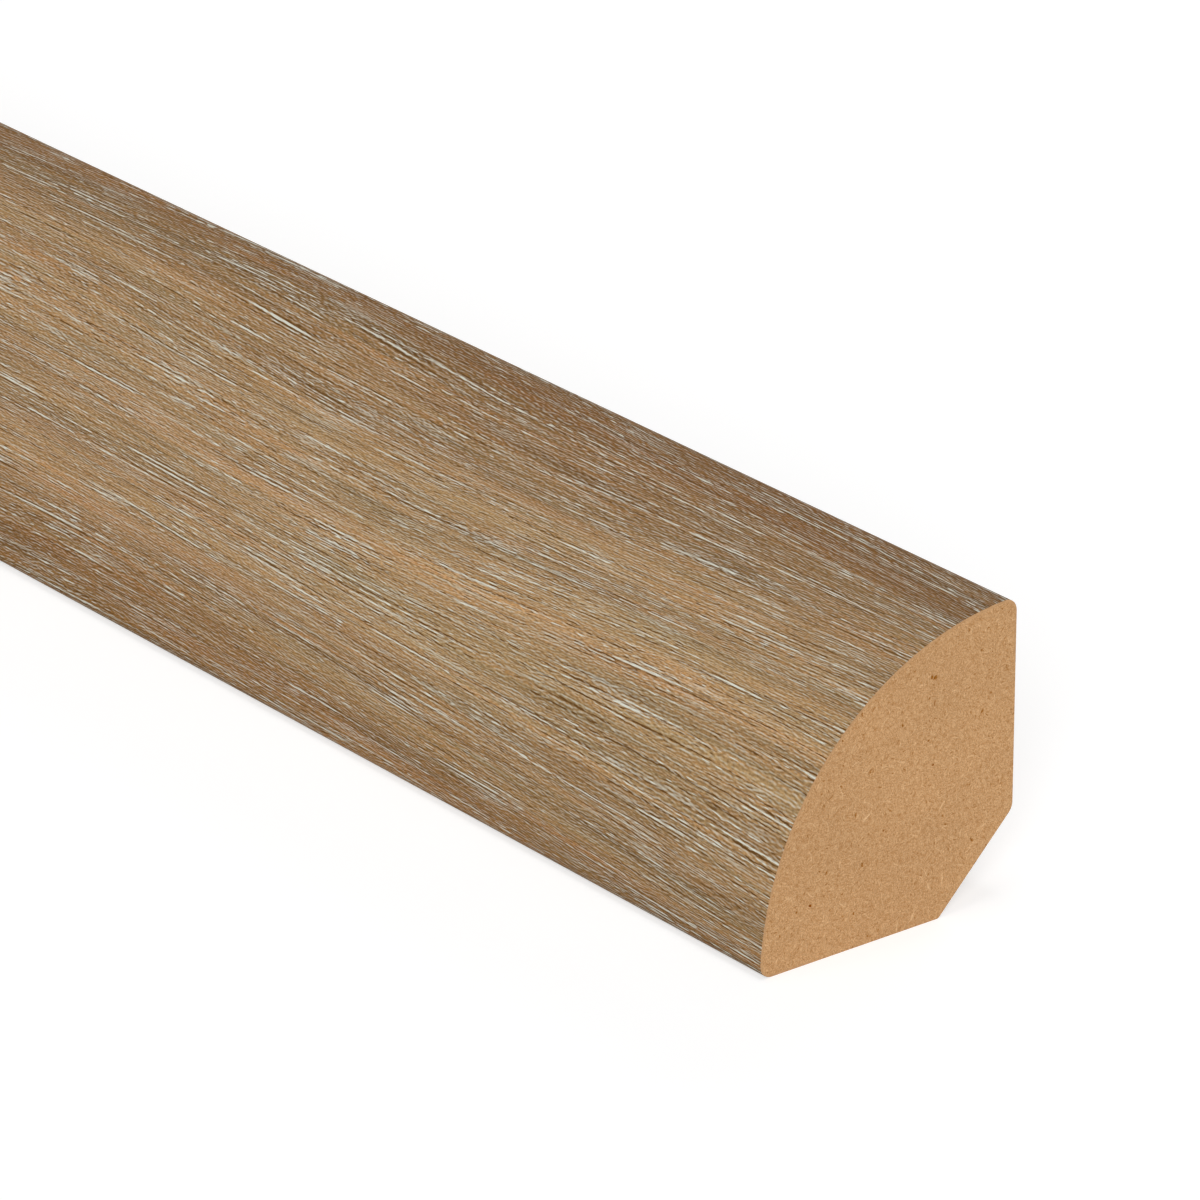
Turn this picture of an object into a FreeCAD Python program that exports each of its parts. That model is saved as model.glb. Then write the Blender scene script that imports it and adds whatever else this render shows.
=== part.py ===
"""Quarter round moulding: one length of floor trim, a fibreboard core wrapped in a printed decor film.

Frame, in millimetres: +X along the length, +Y towards the wall, +Z up. The origin is on the floor, in the
middle of the length and halfway between the toe and the wall face.
"""

import FreeCAD, Part
import math
import os

import Sketcher
from FreeCAD import Vector

# Driving dimensions: alias, millimetres, what it is on the moulding.
SIZES = [
    ("stock_length", 2387.6, "length of one piece, 94 in"),
    ("leg", 19.05, "height on the wall and width on the floor, over the rounds, 3/4 in"),
    ("relief", 5.6, "45 degree cut that clears the corner of wall and floor, along each leg"),
    ("wall_relief_round", 1.0, "round where the relief cut meets the wall face"),
    ("floor_relief_round", 0.3, "round where the relief cut meets the floor face"),
    ("edge_round", 0.85, "round of the top edge and of the toe, over the film"),
    ("film_thickness", 0.15, "printed decor film"),
    ("film_return", 3.0, "how far the film comes round onto the wall face and the floor face"),
]

# The points of a sketch element, and the sketch axis that lies on the floor.
START, END, CENTRE = 1, 2, 3
FLOOR_AXIS = -1

RELIEF_ANGLE = 45.0

# Where the wall face stands, seen from the middle of the floor leg.
WALL_PLACE = "sizes.leg / 2"


def make_sheet(doc):
    """The spreadsheet of driving dimensions, one row each."""
    sheet = doc.addObject("Spreadsheet::Sheet", "sizes")
    for row, (alias, value, meaning) in enumerate(SIZES, start=1):
        sheet.set(f"A{row}", alias)
        sheet.set(f"B{row}", str(value))
        sheet.setAlias(f"B{row}", alias)
        sheet.set(f"C{row}", meaning)
    doc.recompute()
    return sheet


class Section:
    """A sketch across the moulding, whose x runs towards the wall and whose y runs up."""

    def __init__(self, body, name):
        plane = next(plane for plane in body.Origin.OriginFeatures if plane.Role == "YZ_Plane")
        self.sketch = body.newObject("Sketcher::SketchObject", name)
        self.sketch.AttachmentSupport = [(plane, "")]
        self.sketch.MapMode = "FlatFace"

    def value(self, formula):
        return float(self.sketch.evalExpression(formula))

    def line(self, start, end, construction=False):
        return self.sketch.addGeometry(Part.LineSegment(Vector(*start), Vector(*end)), construction)

    def arc(self, centre, radius, start_degrees, end_degrees):
        circle = Part.Circle(Vector(*centre), Vector(0, 0, 1), radius)
        ends = math.radians(start_degrees), math.radians(end_degrees)
        return self.sketch.addGeometry(Part.ArcOfCircle(circle, *ends))

    def rule(self, kind, *where):
        return self.sketch.addConstraint(Sketcher.Constraint(kind, *where))

    def size(self, formula, kind, *where):
        """A dimension that follows the sheet."""
        dimension = self.rule(kind, *where, self.value(formula))
        self.sketch.setExpression(f"Constraints[{dimension}]", formula)


def draw_wrap(section, inset):
    """The path of the film round the moulding, lying inset below the finished surface.

    It runs up the wall face, over the top edge, down the round face, round the toe and along the floor face.
    The round face is centred on the corner of wall and floor and touches the rounds of the top edge and the
    toe, so its radius follows from the leg and those rounds. Returns the first and the last element.
    """
    half = section.value(WALL_PLACE)
    edge_round = section.value("sizes.edge_round")
    film_return = section.value("sizes.film_return")
    depth = section.value(inset)
    reach = section.value("sizes.leg - sizes.edge_round")
    edge_radius = edge_round - depth
    face_radius = math.hypot(reach, edge_round) + edge_radius
    tilt = math.degrees(math.atan2(edge_round, reach))

    wall = section.line((half - depth, reach - film_return), (half - depth, reach))
    top = section.arc((half - edge_round, reach), edge_radius, 0, 90 + tilt)
    face = section.arc((half, 0), face_radius, 90 + tilt, 180 - tilt)
    toe = section.arc((half - reach, edge_round), edge_radius, 180 - tilt, 270)
    floor = section.line((half - reach, depth), (half - reach + film_return, depth))

    path = [wall, top, face, toe, floor]
    for element, following in zip(path, path[1:]):
        section.rule("Tangent", element, END, following, START)
    section.rule("Vertical", wall)
    section.rule("Horizontal", floor)
    section.rule("PointOnObject", face, CENTRE, FLOOR_AXIS)
    section.size(WALL_PLACE, "DistanceX", face, CENTRE)
    section.size("sizes.leg - sizes.edge_round", "DistanceX", floor, START, face, CENTRE)
    for edge in (top, toe):
        section.size(f"sizes.edge_round - {inset}", "Radius", edge)
    section.size(f"{WALL_PLACE} - {inset}", "DistanceX", wall, END)
    section.size(inset, "DistanceY", floor, START)
    for flat in (wall, floor):
        section.size("sizes.film_return", "Distance", flat)
    return wall, floor


def draw_film(section):
    """The film as a closed strip: its printed side, its glued side and its two edges."""
    outer_wall, outer_floor = draw_wrap(section, "0")
    inner_wall, inner_floor = draw_wrap(section, "sizes.film_thickness")
    edges = [(inner_wall, START, outer_wall, START), (outer_floor, END, inner_floor, END)]
    for first, first_point, second, second_point in edges:
        start = section.sketch.getPoint(first, first_point)
        end = section.sketch.getPoint(second, second_point)
        edge = section.line(start[:2], end[:2])
        section.rule("Coincident", edge, START, first, first_point)
        section.rule("Coincident", edge, END, second, second_point)


def draw_core(section):
    """The fibreboard: a quarter round let in by the film's thickness under the film, with a relieved heel."""
    half = section.value(WALL_PLACE)
    relief = section.value("sizes.relief")
    wall_round = section.value("sizes.wall_relief_round")
    floor_round = section.value("sizes.floor_relief_round")
    setback = math.tan(math.radians(RELIEF_ANGLE / 2))

    glued_wall, glued_floor = draw_wrap(section, "sizes.film_thickness")
    wall_seat = section.sketch.getPoint(glued_wall, START)
    floor_seat = section.sketch.getPoint(glued_floor, END)
    floor_turn = half - relief - floor_round * setback
    wall_turn = relief + wall_round * setback

    floor_step = section.line(floor_seat[:2], (floor_seat.x, 0))
    floor = section.line((floor_seat.x, 0), (floor_turn, 0))
    floor_corner = section.arc((floor_turn, floor_round), floor_round, -90, -RELIEF_ANGLE)
    wall_corner = section.arc((half - wall_round, wall_turn), wall_round, -RELIEF_ANGLE, 0)
    floor_end = section.sketch.getPoint(floor_corner, END)
    wall_start = section.sketch.getPoint(wall_corner, START)
    relief_cut = section.line(floor_end[:2], wall_start[:2])
    wall = section.line((half, wall_turn), (half, wall_seat.y))
    wall_step = section.line((half, wall_seat.y), wall_seat[:2])

    for element, following in [
        (glued_floor, floor_step), (floor_step, floor), (wall, wall_step), (wall_step, glued_wall),
    ]:
        section.rule("Coincident", element, END, following, START)
    for element, following in [
        (floor, floor_corner), (floor_corner, relief_cut), (relief_cut, wall_corner), (wall_corner, wall),
    ]:
        section.rule("Tangent", element, END, following, START)
    section.rule("Vertical", floor_step)
    section.rule("Horizontal", floor)
    section.rule("PointOnObject", floor_step, END, FLOOR_AXIS)
    section.rule("Horizontal", wall_step)
    section.rule("Vertical", wall)
    section.size(WALL_PLACE, "DistanceX", wall, END)
    section.size("sizes.floor_relief_round", "Radius", floor_corner)
    section.size("sizes.wall_relief_round", "Radius", wall_corner)

    # The relief is measured between the sharp corners, on a construction line that the cut lies along.
    sharp = section.line((half - relief, 0), (half, relief), construction=True)
    section.rule("PointOnObject", sharp, START, FLOOR_AXIS)
    section.size(WALL_PLACE, "DistanceX", sharp, END)
    section.size("sizes.relief", "DistanceX", sharp, START, sharp, END)
    section.size("sizes.relief", "DistanceY", sharp, START, sharp, END)
    for point in (START, END):
        section.rule("PointOnObject", relief_cut, point, sharp)


def make_stock(doc, label, draw_section):
    """One piece of the moulding: its section, run along the whole length."""
    body = doc.addObject("PartDesign::Body", label)
    body.Label = label
    body.Placement = FreeCAD.Placement()
    section = Section(body, f"{label}_section")
    draw_section(section)
    run = body.newObject("PartDesign::Pad", f"{label}_run")
    run.Profile = section.sketch
    run.SideType = "Symmetric"
    run.setExpression("Length", "sizes.stock_length")
    return body


def check_document(doc, bodies):
    """Stops if anything in the document failed to build."""
    for item in doc.Objects:
        if {"Invalid", "Error"} & set(item.State):
            raise RuntimeError(f"{item.Label} did not build: {item.State}")
    for body in bodies:
        if body.Shape.isNull() or not body.Shape.isValid():
            raise RuntimeError(f"{body.Label} has no valid shape")


def main():
    doc = FreeCAD.newDocument("quarter_round_moulding")
    make_sheet(doc)
    bodies = [
        make_stock(doc, "fibreboard_core", draw_core),
        make_stock(doc, "decor_film", draw_film),
    ]
    doc.recompute()
    check_document(doc, bodies)
    os.makedirs("parts", exist_ok=True)
    for body in bodies:
        body.Shape.exportStep(f"parts/{body.Label}.step")
        box = body.Shape.BoundBox
        print(f"{body.Label}: {body.Shape.Volume / 1000:.2f} cm3,"
              f" {box.XLength:.2f} x {box.YLength:.3f} x {box.ZLength:.3f} mm")


main()
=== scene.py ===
# %% [markdown]
# # A length of quarter round moulding
# This is the trim that covers the joint of a floor and a wall. A fibreboard bar is shaped to a quarter
# circle, and a printed film with a limed oak grain is glued round its face. The cut end shows the bare
# board.
#
# The imported model is loaded first. It fixes the leg, the length, the film's thickness and where all of it
# lies. Its small rounds and cuts can't be read from its boxes, so their sizes are written here again. The
# pieces below are finer meshes of the same two solids. Their colours and the strength of their patterns
# were matched to a photograph of the real thing.

# %% Load the imported model
import math

import bpy
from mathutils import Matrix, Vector


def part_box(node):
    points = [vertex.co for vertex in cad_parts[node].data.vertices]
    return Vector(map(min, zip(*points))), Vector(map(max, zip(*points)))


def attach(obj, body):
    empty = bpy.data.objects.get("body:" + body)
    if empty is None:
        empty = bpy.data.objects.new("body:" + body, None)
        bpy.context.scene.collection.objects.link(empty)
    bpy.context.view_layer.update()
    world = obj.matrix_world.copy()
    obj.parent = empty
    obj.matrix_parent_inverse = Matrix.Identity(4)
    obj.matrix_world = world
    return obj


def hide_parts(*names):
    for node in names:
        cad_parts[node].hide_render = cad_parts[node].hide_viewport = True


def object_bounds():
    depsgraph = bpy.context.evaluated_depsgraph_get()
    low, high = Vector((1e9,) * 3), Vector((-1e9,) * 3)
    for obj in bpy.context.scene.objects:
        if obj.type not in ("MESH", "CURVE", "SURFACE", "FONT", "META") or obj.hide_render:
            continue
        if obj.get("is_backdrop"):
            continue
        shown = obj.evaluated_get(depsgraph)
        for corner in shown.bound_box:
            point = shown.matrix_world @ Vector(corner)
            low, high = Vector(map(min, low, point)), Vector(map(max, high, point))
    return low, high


MM = 0.001

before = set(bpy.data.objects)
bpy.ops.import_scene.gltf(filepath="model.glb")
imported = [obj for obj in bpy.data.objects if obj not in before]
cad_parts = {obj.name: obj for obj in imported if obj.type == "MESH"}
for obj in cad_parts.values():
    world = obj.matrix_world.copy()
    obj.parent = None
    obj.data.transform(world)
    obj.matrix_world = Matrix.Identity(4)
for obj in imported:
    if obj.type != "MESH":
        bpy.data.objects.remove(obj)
cad_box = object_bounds()
film_low, film_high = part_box("decor_film")
core_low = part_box("fibreboard_core")[0]
print("nodes:", sorted(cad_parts))

# %% [markdown]
# ## The section
# The moulding is one section run along its length, so the section is worked out once and both pieces use
# it. It is a quarter circle centred on the corner of wall and floor, with a small round along the top
# edge and the toe, and the inner corner cut away at 45 degrees so that it clears an untidy corner. The
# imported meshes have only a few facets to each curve. Short arcs with many steps give a clean outline
# close to the camera.

# %% Sizes of the section
leg = film_high.z - film_low.z
length = film_high.x - film_low.x
film_thickness = core_low.y - film_low.y
wall = film_high.y

EDGE_ROUND = 0.85 * MM
FILM_RETURN = 3.0 * MM
RELIEF = 5.6 * MM
WALL_RELIEF_ROUND = 1.0 * MM
FLOOR_RELIEF_ROUND = 0.3 * MM
RELIEF_ANGLE = 45

reach = leg - EDGE_ROUND
print(f"leg {leg / MM:.2f} mm, length {length / MM:.1f} mm, film {film_thickness / MM:.2f} mm")


# %% Points round the section
EDGE_STEPS = 12
FACE_STEPS = 72
FLOOR_ROUND_STEPS = 6
WALL_ROUND_STEPS = 8


def arc(centre, radius, start_degrees, end_degrees, steps):
    """Points (y, z) along an arc, both ends included."""
    turns = [start_degrees + (end_degrees - start_degrees) * i / steps for i in range(steps + 1)]
    return [
        (centre[0] + radius * math.cos(math.radians(t)), centre[1] + radius * math.sin(math.radians(t)))
        for t in turns
    ]


def wrap_path(inset):
    """The film's path up the wall face, over the top edge, down the round face and round the toe."""
    tilt = math.degrees(math.atan2(EDGE_ROUND, reach))
    edge = EDGE_ROUND - inset
    face = math.hypot(reach, EDGE_ROUND) + edge
    path = [(wall - inset, reach - FILM_RETURN)]
    path += arc((wall - EDGE_ROUND, reach), edge, 0, 90 + tilt, EDGE_STEPS)
    path += arc((wall, 0), face, 90 + tilt, 180 - tilt, FACE_STEPS)[1:-1]
    path += arc((wall - reach, EDGE_ROUND), edge, 180 - tilt, 270, EDGE_STEPS)
    path += [(wall - reach + FILM_RETURN, inset)]
    return path


def heel_path():
    """The core's bare side, from the film's edge on the floor round the relief cut to that on the wall."""
    setback = math.tan(math.radians(RELIEF_ANGLE / 2))
    floor_turn = wall - RELIEF - FLOOR_RELIEF_ROUND * setback
    wall_turn = RELIEF + WALL_RELIEF_ROUND * setback
    path = [(wall - reach + FILM_RETURN, 0)]
    floor_centre = (floor_turn, FLOOR_RELIEF_ROUND)
    wall_centre = (wall - WALL_RELIEF_ROUND, wall_turn)
    path += arc(floor_centre, FLOOR_RELIEF_ROUND, -90, -RELIEF_ANGLE, FLOOR_ROUND_STEPS)
    path += arc(wall_centre, WALL_RELIEF_ROUND, -RELIEF_ANGLE, 0, WALL_ROUND_STEPS)
    path += [(wall, reach - FILM_RETURN)]
    return path


printed_side = wrap_path(0)
glued_side = wrap_path(film_thickness)
heel_side = heel_path()
print(len(printed_side), "points round the film,", len(glued_side) + len(heel_side), "round the core")

# %% [markdown]
# ## From a section to a piece
# A section could be run along the length as a curve with a bevel or as an extruded face. Here the faces
# are written out as rings of points joined station by station, because then each point's place round the
# section is known. The map "grain" holds that place in millimetres, along the length and round the
# section, so the print runs with the stock as the real one does. The ends are cut across it, so there it
# holds the section.

# %% Run a section along the length
STATIONS = 48
SHARPEST_CURVE = math.radians(25)
stations = [film_low.x + length * i / STATIONS for i in range(STATIONS + 1)]
print(len(stations), "stations,", round(length / STATIONS / MM, 1), "mm apart")


def distances(ring):
    """How far round the closed ring each point lies, and the first point once more at the end."""
    found = [0.0]
    for here, there in zip(ring, ring[1:] + ring[:1]):
        found.append(found[-1] + math.dist(here, there))
    return found


def run_along(name, ring, caps):
    """A closed mesh of the ring of (y, z) at every station; a cap lists ring points of an end face."""
    count = len(ring)
    places = distances(ring)
    points = [(x, y, z) for x in stations for y, z in ring]
    faces = []
    grain = []
    for step in range(STATIONS):
        here, there = step * count, (step + 1) * count
        for i in range(count):
            j = (i + 1) % count
            faces.append((here + i, here + j, there + j, there + i))
            for station, place in [(step, i), (step, i + 1), (step + 1, i + 1), (step + 1, i)]:
                grain += [stations[station] / MM, places[place] / MM]
    for first, order in [(0, -1), (STATIONS * count, 1)]:
        for cap in caps:
            corners = cap[::order]
            faces.append([first + i for i in corners])
            for i in corners:
                grain += [ring[i][0] / MM, ring[i][1] / MM]
    mesh = bpy.data.meshes.new(name)
    mesh.from_pydata(points, [], faces)
    mesh.uv_layers.new(name="grain").data.foreach_set("uv", grain)
    mesh.shade_smooth()
    mesh.set_sharp_from_angle(angle=SHARPEST_CURVE)
    piece = bpy.data.objects.new(name, mesh)
    bpy.context.scene.collection.objects.link(piece)
    print(f"{name}: {len(points)} points, {len(faces)} faces")
    return piece


# %% [markdown]
# ## The two pieces
# The film is a thin closed strip. Its printed side shows on the round face and comes round onto the wall
# face and the floor face. The core fills the rest of the section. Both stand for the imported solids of
# that shape.

# %% The film and the core
wrap_points = len(printed_side)
film_ring = printed_side + glued_side[::-1]
last = 2 * wrap_points - 1
film_caps = [(i, i + 1, last - 1 - i, last - i) for i in range(wrap_points - 1)]
film = run_along("printed_film", film_ring, film_caps)

core_ring = glued_side + heel_side
core_caps = [tuple(range(len(core_ring)))]
core = run_along("fibreboard_bar", core_ring, core_caps)

for piece, node, slot in [(film, "decor_film", "decor_film"), (core, "fibreboard_core", "fibreboard")]:
    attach(piece, "root")
    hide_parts(node)

# %% [markdown]
# ## A map for pictures of the surfaces
# A game engine can't draw node materials, so they have to be turned to pictures for it. A long strip laid
# flat in a square would be squeezed to a blur. This second map folds each strip in two rows, and gives most
# room to what shows: the printed side of the film, and the two ends and the bare heel of the core.

# %% Fold the strips into a square
ROWS = 2
ROW_MARGIN = 0.02


def add_picture_map(piece, ring, strips, cap_boxes):
    """Lays strips (first edge, end edge, low, high) in rows, and each end in a box (left, low, size)."""
    places = distances(ring)
    row_steps = STATIONS // ROWS
    spots = []
    for step in range(STATIONS):
        row, column = divmod(step, row_steps)
        for i in range(len(ring)):
            first, end, low, high = next(strip for strip in strips if strip[0] <= i < strip[1])
            for column_step, place in [(0, i), (0, i + 1), (1, i + 1), (1, i)]:
                share = (places[place] - places[first]) / (places[end] - places[first])
                height = row + ROW_MARGIN + (1 - 2 * ROW_MARGIN) * share
                spots += [(column + column_step) / row_steps, low + height * (high - low) / ROWS]
    side_loops = len(spots) // 2
    cap_loops = (len(piece.data.loops) - side_loops) // 2
    for loop in list(piece.data.loops)[side_loops:]:
        left, low, size = cap_boxes[(loop.index - side_loops) // cap_loops]
        y, z = piece.data.vertices[loop.vertex_index].co.yz
        spots += [left + size * (y - film_low.y) / leg, low + size * z / leg]
    piece.data.uv_layers.new(name="OFBake").data.foreach_set("uv", spots)
    print(f"{piece.name}: {side_loops // 4} side faces in {ROWS} rows")


# Places in the square, whose side is 1.
film_strips = [(0, wrap_points - 1, 0.0, 0.96), (wrap_points - 1, len(film_ring), 0.962, 0.98)]
film_ends = [(0.0, 0.984, 0.014), (0.02, 0.984, 0.014)]
core_strips = [(0, wrap_points - 1, 0.0, 0.02), (wrap_points - 1, len(core_ring), 0.025, 0.5)]
core_ends = [(0.01, 0.51, 0.48), (0.51, 0.51, 0.48)]
add_picture_map(film, film_ring, film_strips, film_ends)
add_picture_map(core, core_ring, core_strips, core_ends)


# %% [markdown]
# ## Colours and nodes
# Colours are written as sRGB hex values, as a paint chart gives them, and turned to the linear values
# that shaders use. Every node comes from one function that sets it up, links it and gives back the output
# to use.

# %% Colours and nodes
# A Mix node has sockets of one name for each kind of data, so those for colours go by number.
SHARE, FIRST, SECOND, MIXED = 0, 6, 7, 2


def linear(hex_colour):
    """An sRGB hex colour as linear red, green, blue and alpha."""
    shares = [int(hex_colour[i:i + 2], 16) / 255 for i in (1, 3, 5)]
    return [s / 12.92 if s <= 0.04045 else ((s + 0.055) / 1.055) ** 2.4 for s in shares] + [1.0]


def add(tree, kind, inputs, out=0, **settings):
    """Adds a node with its settings, links or fills its inputs, and gives back one of its outputs."""
    node = tree.nodes.new(kind)
    for name, value in settings.items():
        setattr(node, name, value)
    for key, value in inputs.items():
        if isinstance(value, bpy.types.NodeSocket):
            tree.links.new(value, node.inputs[key])
        else:
            node.inputs[key].default_value = value
    return node.outputs[out] if node.outputs else None


def start_material(name):
    """A material with no nodes yet."""
    material = bpy.data.materials.new(name)
    material.use_nodes = True
    material.node_tree.nodes.clear()
    return material


print("mid grey #808080 is", round(linear("#808080")[0], 3), "in linear light")


# %% [markdown]
# ## Streaks
# Wood is streaks of many sizes: bands, pores, fibres. A Wave texture gives streaks that are all alike.
# Noise whose cells are drawn out along the grain gives uneven ones, and here a cell is as long and as
# wide as the real streak, in millimetres. The same noise can also shift a colour a little, so that no two
# places have quite the same one.

# %% Streaks of a real size
# How far apart two seeds lie in the noise, in cells along and across.
SEED_STEP = (7.31, 3.17)


def streaks(tree, place, along, across, seed, octaves=0, out="Fac"):
    """Noise from 0 to 1 in streaks of this length and width in millimetres, with finer octaves added."""
    start = (SEED_STEP[0] * seed, SEED_STEP[1] * seed, 0)
    cells = add(
        tree, "ShaderNodeVectorMath", {0: place, 1: (1 / along, 1 / across, 0), 2: start},
        operation="MULTIPLY_ADD",
    )
    inputs = {"Vector": cells, "Scale": 1.0, "Detail": octaves}
    return add(tree, "ShaderNodeTexNoise", inputs, out, noise_dimensions="2D")


def tinted(tree, colour, noise, strengths):
    """A colour that noise shifts up and down, by these shares of its red, green and blue."""
    middle = [1 - strength / 2 for strength in strengths]
    tint = add(tree, "ShaderNodeVectorMath", {0: noise, 1: strengths, 2: middle}, operation="MULTIPLY_ADD")
    return add(tree, "ShaderNodeVectorMath", {0: colour, 1: tint}, operation="MULTIPLY")


print("seeds lie", SEED_STEP, "cells apart")


# %% [markdown]
# ## The print: where its lines run
# The film is paper printed with limed oak and sealed with satin lacquer. An image of oak could be wrapped
# round the bar, but streaks don't repeat along a long piece and stay sharp close up. Oak is never quite
# straight, so its lines are bent first: slow noise pushes them aside, by millimetres over a hand's width
# and less over a thumb's.

# %% Printed oak film: bends of the grain
print_look = start_material("printed_oak_film_satin_lacquer")
tree = print_look.node_tree
grain = add(tree, "ShaderNodeUVMap", {}, uv_map="grain")

# Length and width of a bend in millimetres, and how far it pushes the lines aside.
BENDS = [(90, 16, 6.0), (30, 3.0, 0.35), (9, 1.0, 0.13)]
half_push = sum(push for along, across, push in BENDS) / 2
drawn = add(tree, "ShaderNodeVectorMath", {0: grain, 1: (0, -half_push, 0)}, operation="ADD")
for seed, (along, across, push) in enumerate(BENDS):
    bend = streaks(tree, grain, along, across, seed)
    pushed = {0: bend, 1: (0, push, 0), 2: drawn}
    drawn = add(tree, "ShaderNodeVectorMath", pushed, operation="MULTIPLY_ADD")
print(len(BENDS), "bends of the grain, the widest of", BENDS[0][2], "mm")

# %% [markdown]
# ## The print: kinds of streaks
# Oak has wide bands from its years, narrower ribbons and strands in them, and pores and fibres finer than
# a hair. A pore is a groove, with one edge in the light and the other in the dark. To draw both edges,
# the same noise a small step further across the grain is taken off, which leaves a pale line with a dark
# line beside it.

# %% Printed oak film: kinds of streaks
# Length and width in millimetres, finer octaves, and the step across the grain between a groove's edges.
# Real fibres are about 0.02 mm wide. They are drawn five or six times coarser, so that they show at all.
STREAKS = {
    "bands": (130, 4.5, 0, 0),
    "ribbons": (50, 1.5, 0, 0),
    "strands": (20, 0.5, 0, 0),
    "warmth": (60, 2.5, 1, 0),
    "clusters": (20, 1.2, 1, 0),
    "smears": (7, 0.45, 1, 0),
    "picks": (9, 0.30, 0, 0),
    "breaks": (1.1, 0.14, 1, 0),
    "pores": (9, 0.14, 0, 0.065),
    "fibres": (18, 0.13, 0, 0.06),
    "hairs": (0.5, 0.10, 0, 0.05),
}
oak = {}
for seed, (name, (along, across, octaves, step)) in enumerate(STREAKS.items()):
    oak[name] = streaks(tree, drawn, along, across, seed, octaves)
    if step:
        further = add(tree, "ShaderNodeVectorMath", {0: drawn, 1: (0, step, 0)}, operation="ADD")
        far_edge = streaks(tree, further, along, across, seed, octaves)
        oak[name] = add(tree, "ShaderNodeMath", {0: oak[name], 1: far_edge}, operation="SUBTRACT")
print(len(oak), "kinds of streaks")

# %% [markdown]
# ## The print: ground colour
# Between the pores oak is tan, in bands that are lighter or darker, and warmer or greyer. The film is
# darker towards both edges, slowly at first and more in the last millimetres: partly darker bands of the
# print, and partly painted shade where the round face turns from the light. Long threads go from warm to
# cool, and the dots of the print leave a fine grain of light and dark over everything.

# %% Printed oak film: ground colour
OAK_GREY = "#9C8158"
OAK_WARM = "#A47D55"
TONES = {"bands": 0.26, "ribbons": 0.42, "strands": 0.42}
# Where a darker strip starts and where it is deepest, in millimetres round the film, and the colour that
# darkens it there: part print, part painted shade.
EDGE_STAIN_AND_SHADE = [
    (17.5, 3.5, "#D5C5AF"),
    (9.0, 6.5, "#EFE6D4"),
    (23.5, 31.5, "#E9E2D8"),
    (29.5, 31.5, "#F6EEE2"),
]
# Length and width in millimetres, and how much the red, green and blue change.
THREADS = (14.0, 0.25)
THREAD_TINT = (0.32, 0.0, -0.28)
PRINT_DOTS = (0.28, 0.10)
DOT_TINT = (1.0, 1.0, 1.0)

tone = 1 - sum(TONES.values()) / 2
for name, depth in TONES.items():
    tone = add(tree, "ShaderNodeMath", {0: oak[name], 1: depth, 2: tone}, operation="MULTIPLY_ADD")
oaks = {SHARE: oak["warmth"], FIRST: linear(OAK_GREY), SECOND: linear(OAK_WARM)}
ground = add(tree, "ShaderNodeMix", oaks, MIXED, data_type="RGBA")
ground = add(tree, "ShaderNodeVectorMath", {0: ground, "Scale": tone}, operation="SCALE")

place_round = add(tree, "ShaderNodeSeparateXYZ", {0: drawn}, "Y")
# Painted shade and print: these strips darken the round face towards its edges, partly as darker bands of
# the print and partly as shade where the face turns from the light.
for start, deepest, stain_and_shade in EDGE_STAIN_AND_SHADE:
    share = add(
        tree, "ShaderNodeMapRange", {"Value": place_round, "From Min": start, "From Max": deepest},
        interpolation_type="SMOOTHSTEP",
    )
    ground = add(
        tree, "ShaderNodeMix", {SHARE: share, FIRST: ground, SECOND: linear(stain_and_shade)}, MIXED,
        data_type="RGBA", blend_type="MULTIPLY",
    )

threads = streaks(tree, drawn, *THREADS, len(STREAKS), 1)
ground = tinted(tree, ground, threads, THREAD_TINT)
dots = streaks(tree, drawn, *PRINT_DOTS, len(STREAKS) + 1, 1)
ground = tinted(tree, ground, dots, DOT_TINT)
print("ground between", OAK_GREY, "and", OAK_WARM)

# %% [markdown]
# ## The print: pores and lime
# The pores are what makes it oak. In limed oak a pale wax is rubbed into them. It fills some and is wiped
# off others, which stay dark, and a thin smear is left in between. The pale and dark lines are also the two
# edges of each groove drawn above: painted light on one edge and painted shade on the other. Pores crowd
# together in clusters, only some lines are picked, and short breaks cut them into dashes, so all three
# shift the level at which a line counts as a pore.

# %% Printed oak film: pores and lime
# The pale colour stands for lime wax and for painted light on the lit edges of grooves, the brown for open
# pores and for painted shade on their shaded edges.
LIME_WAX_AND_LIT_EDGE = "#D5D5C8"
PORE_BROWN_AND_SHADED_EDGE = "#634421"
LINES = {"fibres": 0.60, "hairs": 0.92}
# How far clusters, picks and breaks raise a pore's level, where it starts and is full, and its cover.
PORES = {
    "limed": (0.5, 0.5, 0.72, 1.155, 1.295, 0.85),
    "open": (-0.4, -0.4, -0.65, -0.90, -1.05, 0.85),
}
# Where in the noise a smear of wax starts and is full, and the share that it then covers.
SMEAR_START = 0.5
SMEAR_FULL = 0.85
SMEAR_COVER = 0.28

fine = 0.0
for name, depth in LINES.items():
    fine = add(tree, "ShaderNodeMath", {0: oak[name], 1: depth, 2: fine}, operation="MULTIPLY_ADD")

pores = {}
for name, (clusters, picks, breaks, start, full, cover) in PORES.items():
    level = oak["pores"]
    for shift, share in [("clusters", clusters), ("picks", picks), ("breaks", breaks)]:
        level = add(tree, "ShaderNodeMath", {0: oak[shift], 1: share, 2: level}, operation="MULTIPLY_ADD")
    pores[name] = add(
        tree, "ShaderNodeMapRange", {"Value": level, "From Min": start, "From Max": full, "To Max": cover},
        interpolation_type="SMOOTHSTEP",
    )
smeared = {"Value": oak["smears"], "From Min": SMEAR_START, "From Max": SMEAR_FULL, "To Max": SMEAR_COVER}
smear = add(tree, "ShaderNodeMapRange", smeared, interpolation_type="SMOOTHSTEP")
lime = add(tree, "ShaderNodeMath", {0: pores["limed"], 1: smear}, operation="ADD")
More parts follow.
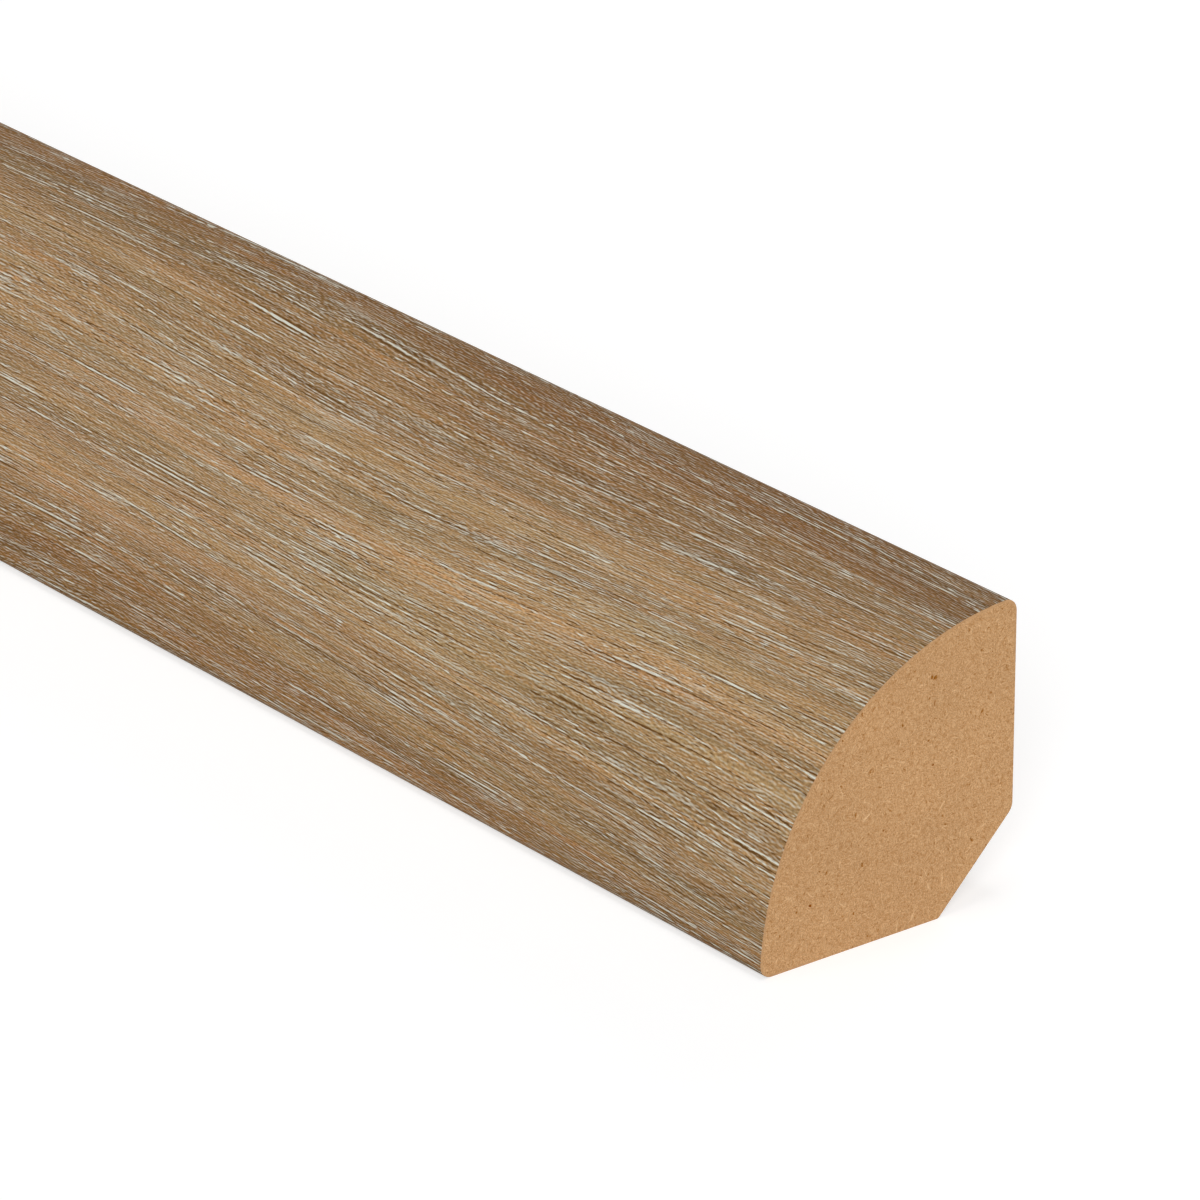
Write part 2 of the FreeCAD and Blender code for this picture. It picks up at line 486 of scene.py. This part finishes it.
# Painted light and painted shade: the lit edges of the fine lines join the pale wax, their shaded edges the
# brown pores.
pale = add(tree, "ShaderNodeMath", {0: lime, 1: fine}, operation="ADD", use_clamp=True)
dark = add(tree, "ShaderNodeMath", {0: pores["open"], 1: fine}, operation="SUBTRACT", use_clamp=True)
browns = {SHARE: dark, FIRST: ground, SECOND: linear(PORE_BROWN_AND_SHADED_EDGE)}
pored_and_shaded = add(tree, "ShaderNodeMix", browns, MIXED, data_type="RGBA")
waxed = {SHARE: pale, FIRST: pored_and_shaded, SECOND: linear(LIME_WAX_AND_LIT_EDGE)}
print_colour = add(tree, "ShaderNodeMix", waxed, MIXED, data_type="RGBA")
print("pores filled with", LIME_WAX_AND_LIT_EDGE, "or left", PORE_BROWN_AND_SHADED_EDGE)

# %% [markdown]
# ## The print: surface
# To the eye lacquered paper is a smooth dull plastic, with an index near 1.5 and a soft gloss that is a
# little duller where there is wax. Its reflection is kept weak, so that the print keeps its colour along
# the top edge, where it is seen at a slant. The pores are pressed into the lacquer by a hundredth of a
# millimetre.

# %% Printed oak film: surface
PORE_DEPTH = 0.01 * MM
LACQUER_ROUGHNESS = 0.70
WAX_ROUGHNESS = 0.85
LACQUER = {"IOR": 1.48, "Specular IOR Level": 0.05}

dulled = {"Value": lime, "To Min": LACQUER_ROUGHNESS, "To Max": WAX_ROUGHNESS}
gloss = add(tree, "ShaderNodeMapRange", dulled)
groove = add(tree, "ShaderNodeMath", {0: pores["limed"], 1: pores["open"]}, operation="ADD")
normal = add(tree, "ShaderNodeBump", {"Height": groove, "Distance": PORE_DEPTH}, "Normal", invert=True)
surface = {"Base Color": print_colour, "Normal": normal, "Roughness": gloss}
shader = add(tree, "ShaderNodeBsdfPrincipled", surface | LACQUER, "BSDF")
add(tree, "ShaderNodeOutputMaterial", {"Surface": shader})
print(print_look.name, "has", len(tree.nodes), "nodes")

# %% [markdown]
# ## The cut edge of the film
# On the ends the film shows only as the edge of its paper. It is soaked with glue and as tan as the board
# beside it, so a fine mottle between two tans is enough.

# %% Film edge
PAPER_DARK = "#A87F57"
PAPER_PALE = "#CBA073"
# Length and width of the tufts of pulp in millimetres.
PULP = (0.4, 0.15)
PAPER_SMOOTHEST = 0.8
PAPER_ROUGHEST = 0.95
PAPER = {"IOR": 1.48, "Specular IOR Level": 0.2}

edge_look = start_material("decor_paper_cut_edge")
tree = edge_look.node_tree
place = add(tree, "ShaderNodeUVMap", {}, uv_map="grain")
pulp = streaks(tree, place, *PULP, 0, 1)
tans = {SHARE: pulp, FIRST: linear(PAPER_DARK), SECOND: linear(PAPER_PALE)}
paper = add(tree, "ShaderNodeMix", tans, MIXED, data_type="RGBA")
dulled = {"Value": pulp, "To Min": PAPER_SMOOTHEST, "To Max": PAPER_ROUGHEST}
dullness = add(tree, "ShaderNodeMapRange", dulled)
surface = {"Base Color": paper, "Roughness": dullness}
shader = add(tree, "ShaderNodeBsdfPrincipled", surface | PAPER, "BSDF")
add(tree, "ShaderNodeOutputMaterial", {"Surface": shader})
print(edge_look.name, "has", len(tree.nodes), "nodes")


# %% [markdown]
# ## The fibreboard: a felt of fibres
# Medium density fibreboard is wood ground to fibres and pressed with glue. Close up it is a felt: fine
# fibres that lie every way. Plain noise looks like cork instead. Streaks laid over one another at several
# turns look like felt, once slow noise has bent them a little.

# %% Fibreboard: felt
# Real fibres are about 0.03 mm thick. They are drawn about twice as thick, so that they show.
FELT_TURNS = [15, 60, 105, 150]
FELT_FIBRE = (0.45, 0.06)
FELT_DEPTH = 0.38


def felt(tree, place):
    """The tone of the felt, about 0."""
    tone = -FELT_DEPTH * len(FELT_TURNS) / 2
    for seed, degrees in enumerate(FELT_TURNS):
        turned = add(
            tree, "ShaderNodeVectorRotate", {"Vector": place, "Angle": math.radians(degrees)},
            rotation_type="Z_AXIS",
        )
        layer = streaks(tree, turned, *FELT_FIBRE, seed)
        tone = add(tree, "ShaderNodeMath", {0: layer, 1: FELT_DEPTH, 2: tone}, operation="MULTIPLY_ADD")
    return tone


print(len(FELT_TURNS), "layers of felt, with fibres of", FELT_FIBRE, "mm")


# %% [markdown]
# ## The fibreboard: single fibres and specks
# On the felt lie longer fibres, some pale and some dark, small gaps darkened with painted shade, and specks
# of bark. They could be scattered as tiny meshes, but they have no height that shows. A Voronoi texture
# scatters them in the shader: each cell gives a centre and a random colour, and that colour sets the turn,
# the size and the tone of the one mark in the cell.

# %% Fibreboard: marks
# Spacing, length and width in millimetres, and the tone of the darkest and of the palest.
MARKS = {
    "long fibres": (1.1, 1.2, 0.09, -0.20, 0.40),
    "fibres": (0.6, 0.65, 0.08, -0.25, 0.36),
    # Painted shade: the gaps are dark as shade in the hollows of the felt.
    "gaps": (0.8, 0.32, 0.12, -0.38, 0.0),
    "bark specks": (3.0, 0.32, 0.24, -0.65, 0.0),
    "small specks": (1.6, 0.22, 0.15, -0.52, 0.0),
}
# How far apart two seeds lie among the cells, along and across.
MARK_STEP = (5.3, 2.9)
# A mark covers wholly inside this share of its full size, and fades out at a share between the next two.
FULL_COVER = 0.5
SMALLEST, LARGEST = 0.6, 1.1


def marks(tree, place, seed, spacing, along, across, darkest, palest):
    """The tone of spindles of this length and width, one to a cell, and 0 between them."""
    start = (MARK_STEP[0] * seed, MARK_STEP[1] * seed, 0)
    spots = add(
        tree, "ShaderNodeVectorMath", {0: place, 1: [1 / spacing] * 3, 2: start}, operation="MULTIPLY_ADD",
    )
    cells = {"Vector": spots, "Scale": 1.0}
    centre = add(tree, "ShaderNodeTexVoronoi", cells, "Position", voronoi_dimensions="2D")
    chance = add(tree, "ShaderNodeSeparateColor", {0: centre.node.outputs["Color"]}).node.outputs
    turn = add(tree, "ShaderNodeMath", {0: chance["Green"], 1: math.pi}, operation="MULTIPLY")
    sizes = {"Value": chance["Blue"], "To Min": SMALLEST, "To Max": LARGEST}
    size = add(tree, "ShaderNodeMapRange", sizes)
    tone = add(tree, "ShaderNodeMapRange", {"Value": chance["Red"], "To Min": darkest, "To Max": palest})

    offset = add(tree, "ShaderNodeVectorMath", {0: spots, 1: centre}, operation="SUBTRACT")
    turned = add(tree, "ShaderNodeVectorRotate", {"Vector": offset, "Angle": turn}, rotation_type="Z_AXIS")
    halves = (2 * spacing / along, 2 * spacing / across, 0)
    spindle = add(tree, "ShaderNodeVectorMath", {0: turned, 1: halves}, operation="MULTIPLY")
    radius = add(tree, "ShaderNodeVectorMath", {0: spindle}, "Value", operation="LENGTH")
    cover = add(tree, "ShaderNodeMapRange", {"Value": radius, "From Min": size, "From Max": FULL_COVER})
    return add(tree, "ShaderNodeMath", {0: cover, 1: tone}, operation="MULTIPLY")


print("marks:", ", ".join(MARKS))


# %% [markdown]
# ## The fibreboard: two cuts
# The ends are sawn across, which opens the felt and shows it best. The wall face, the floor face and the
# relief cut are shaped by a cutter that runs along the bar. It presses the fibres flat and leaves fine
# lines along the length. Bare board is matt, with no gloss to speak of. One function makes both cuts from
# how much of each they show.

# %% Fibreboard: sawn and machined
BOARD_TAN = "#BD9265"
# How much the red, green and blue change from the deepest fibres to the highest. The deep ones are darker
# and browner, partly as their own colour and partly as painted shade.
BOARD_TINT_AND_SHADE = (0.74, 1.05, 1.53)
BOARD_RELIEF = 0.02 * MM
DEEP_ROUGHNESS = 0.98
HIGH_ROUGHNESS = 0.82
BOARD = {"IOR": 1.5, "Specular IOR Level": 0.2}
# Length and width of the cutter lines, the size of a bend in the fibres and its push, in millimetres.
CUTTER_LINES = (80, 0.35)
SWAY_SIZE = 0.8
SWAY_PUSH = 0.4
# Size in millimetres and strength of the blotches of light and dark, from wide ones down to dust.
BLOTCHES = [(9.0, 0.16), (1.8, 0.06), (0.09, 0.60)]


def fibreboard(name, fibres, lines):
    """Fibreboard that shows this share of its fibres, and cutter lines of this tone."""
    look = start_material(name)
    tree = look.node_tree
    place = add(tree, "ShaderNodeUVMap", {}, uv_map="grain")
    sway = streaks(tree, place, SWAY_SIZE, SWAY_SIZE, 0, 0, "Color")
    push = (SWAY_PUSH, SWAY_PUSH, 0)
    swaying = add(tree, "ShaderNodeVectorMath", {0: sway, 1: push, 2: place}, operation="MULTIPLY_ADD")

    tone = felt(tree, swaying)
    for seed, mark in enumerate(MARKS.values()):
        tone = add(tree, "ShaderNodeMath", {0: marks(tree, swaying, seed, *mark), 1: tone}, operation="ADD")
    relief = add(tree, "ShaderNodeMath", {0: tone, 1: fibres, 2: 0.5 - lines / 2}, operation="MULTIPLY_ADD")
    cutter = streaks(tree, place, *CUTTER_LINES, 1, 1)
    relief = add(tree, "ShaderNodeMath", {0: cutter, 1: lines, 2: relief}, operation="MULTIPLY_ADD")

    # Painted shade: the colour follows the relief, so hollows and gaps are darker and browner than the
    # fibres on top, partly as their own colour.
    colour = tinted(tree, linear(BOARD_TAN)[:3], relief, BOARD_TINT_AND_SHADE)
    for seed, (size, strength) in enumerate(BLOTCHES, start=2):
        blotch = streaks(tree, place, size, size, seed, 1)
        colour = tinted(tree, colour, blotch, [strength] * 3)
    normal = add(tree, "ShaderNodeBump", {"Height": relief, "Distance": BOARD_RELIEF}, "Normal")
    dulled = {"Value": relief, "To Min": DEEP_ROUGHNESS, "To Max": HIGH_ROUGHNESS}
    dullness = add(tree, "ShaderNodeMapRange", dulled)
    surface = {"Base Color": colour, "Normal": normal, "Roughness": dullness}
    shader = add(tree, "ShaderNodeBsdfPrincipled", surface | BOARD, "BSDF")
    add(tree, "ShaderNodeOutputMaterial", {"Surface": shader})
    print(name, "has", len(tree.nodes), "nodes")
    return look


machined_look = fibreboard("medium_density_fibreboard_machined", fibres=0.55, lines=0.16)
sawn_look = fibreboard("medium_density_fibreboard_sawn", fibres=1.0, lines=0.0)

# %% [markdown]
# ## Dressing the pieces
# The film is print on its outer side and paper everywhere else. The core is sawn on its two ends and
# machined along its length. Faces were made side by side and then end by end, so their order tells which
# is which.

# %% Dress the pieces
film_sides = [0] * (wrap_points - 1) + [1] * (len(film_ring) - wrap_points + 1)
dressing = [
    (film, [print_look, edge_look], film_sides, film_caps),
    (core, [machined_look, sawn_look], [0] * len(core_ring), core_caps),
]
for piece, looks, ring_looks, caps in dressing:
    for look in looks:
        piece.data.materials.append(look)
    choices = ring_looks * STATIONS + [1] * (2 * len(caps))
    piece.data.polygons.foreach_set("material_index", choices)
    print(piece.name, "wears", [look.name for look in looks])


# %% [markdown]
# ## A white studio
# The stock lies on a plain white floor under a white sky. A floor lit to full white would throw too much
# light back at the object. So floor and sky are white only where they are seen, straight on or in a
# reflection, and the light that they give is less. The floor's own glow makes up what its shade of grey
# lacks, and it still takes a shadow.

# %% Floor and sky
FLOOR_HALF = 6.0
FLOOR_GREY = 0.6
FLOOR_GLOW = 0.52
SKY_LIGHT = 0.20

scene = bpy.context.scene


def seen(tree):
    """1 for what is seen straight on, in a reflection or through glass, and 0 for light on surfaces."""
    rays = add(tree, "ShaderNodeLightPath", {}).node.outputs
    share = rays["Is Camera Ray"]
    for name in ("Is Glossy Ray", "Is Transmission Ray"):
        share = add(tree, "ShaderNodeMath", {0: share, 1: rays[name]}, operation="MAXIMUM")
    return share


floor_look = start_material("white_studio_floor")
tree = floor_look.node_tree
glow = add(tree, "ShaderNodeMath", {0: seen(tree), 1: FLOOR_GLOW}, operation="MULTIPLY")
glow = add(tree, "ShaderNodeEmission", {"Strength": glow})
matt = add(tree, "ShaderNodeBsdfDiffuse", {"Color": (FLOOR_GREY, FLOOR_GREY, FLOOR_GREY, 1)})
both = add(tree, "ShaderNodeAddShader", {0: glow, 1: matt})
add(tree, "ShaderNodeOutputMaterial", {"Surface": both})

corners = [(x * FLOOR_HALF, y * FLOOR_HALF, 0) for x, y in [(-1, -1), (1, -1), (1, 1), (-1, 1)]]
floor_mesh = bpy.data.meshes.new("floor")
floor_mesh.from_pydata(corners, [], [(0, 1, 2, 3)])
floor_mesh.materials.append(floor_look)
floor = bpy.data.objects.new("floor", floor_mesh)
scene.collection.objects.link(floor)
floor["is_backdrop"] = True

scene.world = bpy.data.worlds.new("studio")
scene.world.use_nodes = True
tree = scene.world.node_tree
tree.nodes.clear()
strength = add(tree, "ShaderNodeMapRange", {"Value": seen(tree), "To Min": SKY_LIGHT, "To Max": 1.0})
sky = add(tree, "ShaderNodeBackground", {"Color": (1, 1, 1, 1), "Strength": strength})
add(tree, "ShaderNodeOutputWorld", {"Surface": sky})
print("floor", 2 * FLOOR_HALF, "m wide, sky light", SKY_LIGHT)

# %% [markdown]
# ## Light
# Soft boxes could light this small scene, but their light falls off along 2.4 m of stock. Suns with a
# wide angle are soft too and the same everywhere. The key stands behind the camera, so the shadow falls
# behind the object, the top light darkens the floor only close under the toe, and the fill keeps the back
# from going black. A sun of pi lights a surface that faces it so that its colour renders as written, and
# the levels here are shares of that.

# %% Lamps
# The direction a lamp shines from, its level, and its width in degrees.
LAMPS = {
    "key": ((0.70, -0.57, 0.43), 0.90, 30),
    "top": ((0.0, 0.0, 1.0), 0.20, 25),
    "back_fill": ((-0.5, 0.8, 0.3), 0.25, 40),
}
for name, (source, level, width) in LAMPS.items():
    lamp = bpy.data.lights.new(name, "SUN")
    lamp.energy = level * math.pi
    lamp.angle = math.radians(width)
    holder = bpy.data.objects.new(name, lamp)
    holder.rotation_euler = Vector(source).to_track_quat("Z", "Y").to_euler()
    scene.collection.objects.link(holder)
    print(f"{name}: level {level}, {width} degrees wide")

# %% [markdown]
# ## Camera
# The view is across the cut end, from a little above, with a long lens that keeps the two edges of the
# stock almost parallel. The camera's place is measured from the lower wall corner of the end: how far
# back it stands, and how far that corner is off the middle of the picture.

# %% Camera
AZIMUTH = math.radians(51.860)
ELEVATION = math.radians(23.182)
STAND_BACK = 466.88 * MM
CORNER_RIGHT = 24.226 * MM
CORNER_BELOW = 17.314 * MM
# Width of the sensor and length of the lens in millimetres, as a camera has them.
SENSOR_WIDTH = 36
LENS = 237.26
NEAREST_SEEN = 10 * MM

back = Vector((
    math.sin(AZIMUTH) * math.cos(ELEVATION), -math.cos(AZIMUTH) * math.cos(ELEVATION), math.sin(ELEVATION),
))
right = Vector((0, 0, 1)).cross(back).normalized()
up = back.cross(right)
end_corner = Vector((film_high.x, wall, 0))

camera_data = bpy.data.cameras.new("camera")
camera_data.sensor_width = SENSOR_WIDTH
camera_data.lens = LENS
camera_data.clip_start = NEAREST_SEEN
camera = bpy.data.objects.new("camera", camera_data)
camera.location = end_corner - right * CORNER_RIGHT + up * CORNER_BELOW + back * STAND_BACK
camera.rotation_euler = back.to_track_quat("Z", "Y").to_euler()
scene.collection.objects.link(camera)
scene.camera = camera
print("camera at", [round(value, 3) for value in camera.location])

# %% [markdown]
# ## Finish
# The Standard view keeps colours as they were matched. The box of the imported model and the box of the
# pieces made here are printed, to see that nothing grew.

# %% Sizes and finish
scene.view_settings.view_transform = "Standard"
boxes = {"cad": cad_box, "visual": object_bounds()}
for name, (low, high) in boxes.items():
    print(name, "box", [round((b - a) / MM, 2) for a, b in zip(low, high)], "mm")
